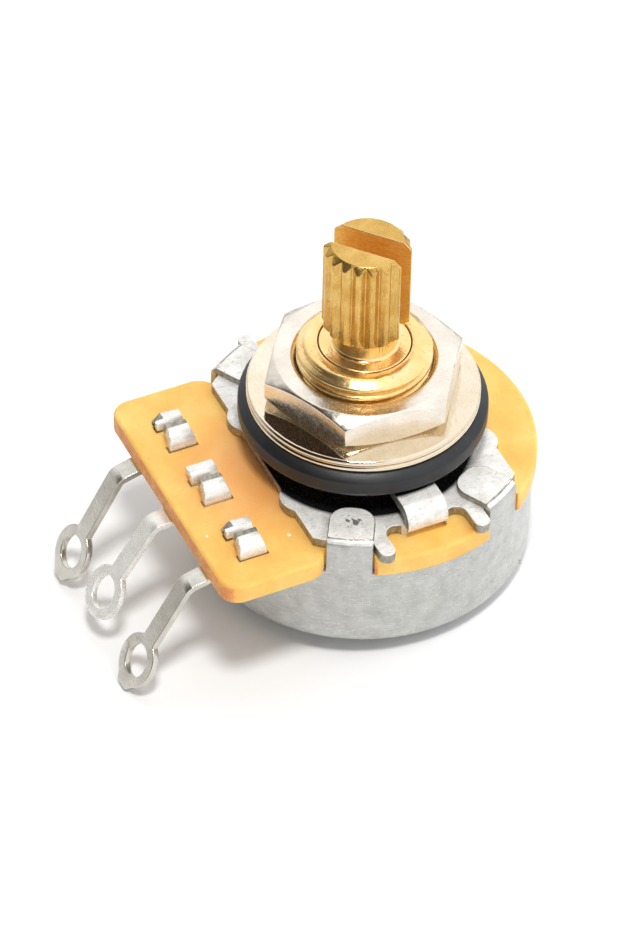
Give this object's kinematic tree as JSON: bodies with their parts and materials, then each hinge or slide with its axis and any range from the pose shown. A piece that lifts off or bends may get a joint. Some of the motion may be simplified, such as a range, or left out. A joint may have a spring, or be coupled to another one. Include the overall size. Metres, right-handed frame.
{
  "type": "rotary potentiometer",
  "caption": "Round metal-cased rotary potentiometer with a splined split shaft, threaded bushing with nut, washers and rubber ring, and a board with solder lugs.",
  "frame": {"origin": "on the shaft's axis, at the front plate's outer face, the plane that faces the panel", "axes": "+Z out along the shaft, away from the panel's back, through the bushing; -Y towards the solder lugs; +X towards the locating lug, to the right with the lugs pointing at the viewer"},
  "size_m": [0.0244, 0.0332, 0.0289],
  "materials": {
    "zinc_steel": "drawn steel sheet, zinc plated, matt with fine scratches",
    "plate_steel": "stamped steel sheet, bright zinc plated, speckled",
    "turned_brass": "turned brass, bare, with a cut thread",
    "phenolic_board": "paper-phenolic laminate, amber, slightly see-through at its edges",
    "carbon_print": "printed carbon composition",
    "silver_print": "printed silver",
    "tinned_strip": "stamped strip, tin plated, dull",
    "black_rubber": "moulded rubber, matt black",
    "nickel_spring_steel": "stamped spring steel, nickel plated",
    "nickel_steel": "pressed steel, nickel plated, mirror bright",
    "shaft_brass": "turned and knurled brass, bright",
    "washer_steel": "punched steel",
    "spring_steel": "spring steel, oiled black",
    "rotor_phenolic": "moulded phenolic, dark brown",
    "phosphor_bronze": "phosphor bronze sheet"
  },
  "bodies": {
    "housing": {"can": "zinc_steel", "front_plate": "plate_steel", "bushing": "turned_brass", "element_board": "phenolic_board", "carbon_track": "carbon_print", "collector_ring": "silver_print", "end_contact_left": "silver_print", "end_contact_right": "silver_print", "terminal_left": "tinned_strip", "terminal_middle": "tinned_strip", "terminal_right": "tinned_strip", "sealing_ring": "black_rubber", "lock_washer": "nickel_spring_steel", "flat_washer": "nickel_steel", "hex_nut": "nickel_steel"},
    "spindle": {"shaft": "shaft_brass", "thrust_washer": "washer_steel", "retaining_clip": "spring_steel", "rotor": "rotor_phenolic", "wiper_spring": "phosphor_bronze"}
  },
  "joints": [
    {"name": "shaft_turn", "type": "hinge", "parent": "housing", "child": "spindle", "pos_m": [0, 0, 0], "axis": [0, 0, 1], "range_deg": [-150, 150]}
  ]
}
